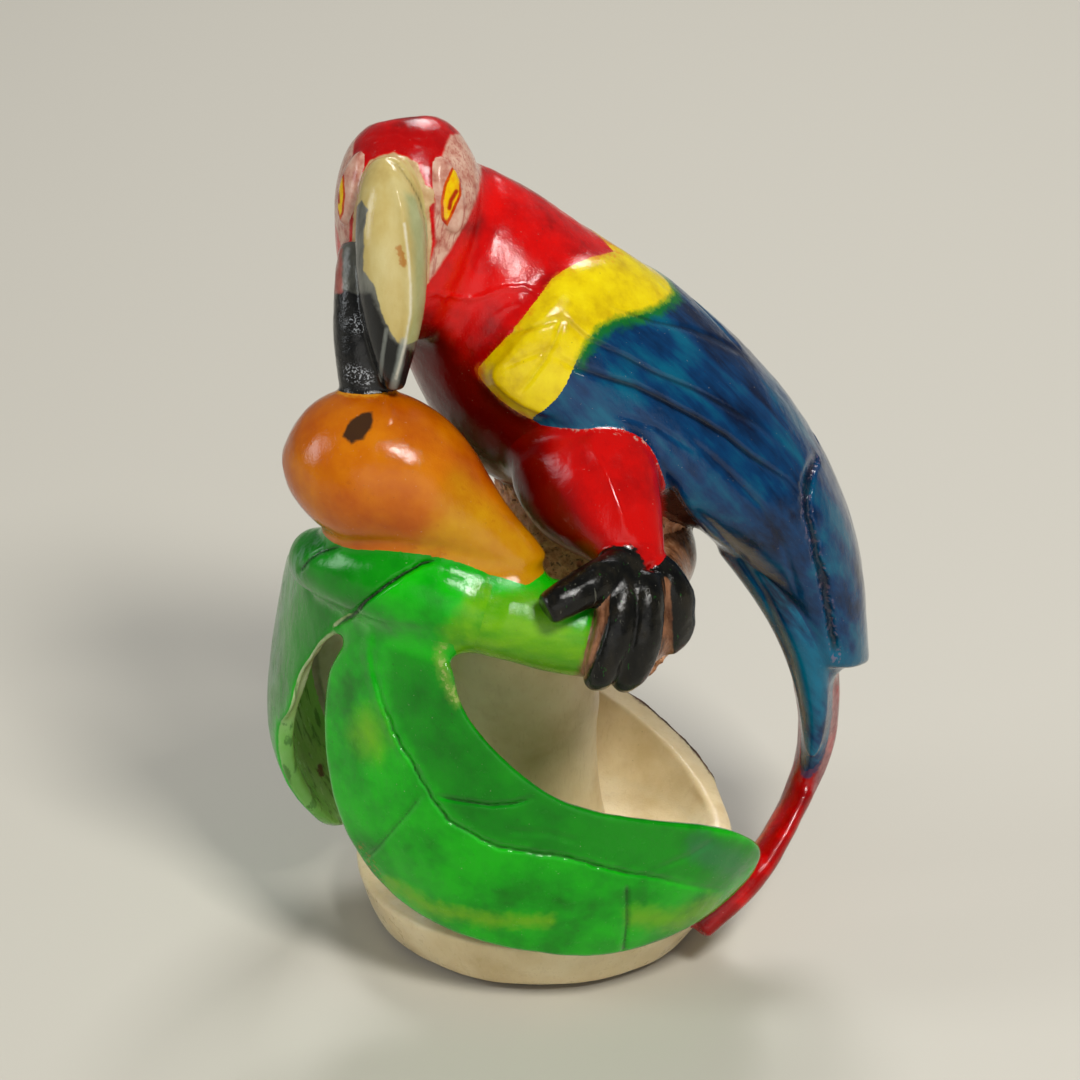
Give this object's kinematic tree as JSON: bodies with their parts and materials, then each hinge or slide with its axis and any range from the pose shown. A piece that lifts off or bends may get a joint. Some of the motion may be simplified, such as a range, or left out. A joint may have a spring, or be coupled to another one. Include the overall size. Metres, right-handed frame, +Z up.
{
  "type": "carved macaw figurine",
  "caption": "Small painted nut-ivory carving of a macaw that perches on a branch, bites a fruit and arches its tail round a curled leaf, on a flat round foot.",
  "frame": {"origin": "centre of the flat round foot that the figurine stands on, in the plane of the table", "axes": "+Z up to the crown of the head, -Y to the front that shows the bill, fruit and leaf, +X to the bird's back and tail"},
  "size_m": [0.0395, 0.0372, 0.0574],
  "materials": {
    "red_paint": "glossy lacquered crimson paint, darker in the hollows",
    "blue_paint": "glossy blue paint brushed from navy to teal",
    "yellow_paint": "glossy yellow paint with orange and green fringes",
    "green_paint": "glossy green paint with yellow-green patches and dark engraved veins",
    "branch_paint": "glossy light green paint that browns towards the feet",
    "orange_paint": "glossy orange paint, yellower along the neck",
    "black_paint": "glossy black paint with brushed pale streaks",
    "bill_paint": "glossy cream to greenish ivory with a black tip",
    "eye_paint": "glossy yellow with a red outline",
    "bare_ivory": "polished bare vegetable ivory, cream to tan",
    "bark": "rough granular brown bark",
    "nut_skin": "thin brown nut skin, matt"
  },
  "bodies": {
    "root": {"head": "red_paint", "torso": "red_paint", "left_thigh": "red_paint", "right_thigh": "red_paint", "tail": "red_paint", "left_wing": "blue_paint", "right_wing": "blue_paint", "tail_coverts": "blue_paint", "left_shoulder": "yellow_paint", "right_shoulder": "yellow_paint", "front_leaf": "green_paint", "side_leaf": "green_paint", "leaf_joint": "green_paint", "branch": "branch_paint", "fruit": "orange_paint", "lower_bill": "black_paint", "left_toe_1": "black_paint", "left_toe_2": "black_paint", "left_toe_3": "black_paint", "left_toe_4": "black_paint", "right_toe_1": "black_paint", "right_toe_2": "black_paint", "right_toe_3": "black_paint", "right_toe_4": "black_paint", "upper_bill": "bill_paint", "left_eye": "eye_paint", "right_eye": "eye_paint", "base": "bare_ivory", "back_wall": "bare_ivory", "post": "bare_ivory", "stump": "bark", "foot_skin": "nut_skin", "wall_skin": "nut_skin"}
  },
  "joints": []
}
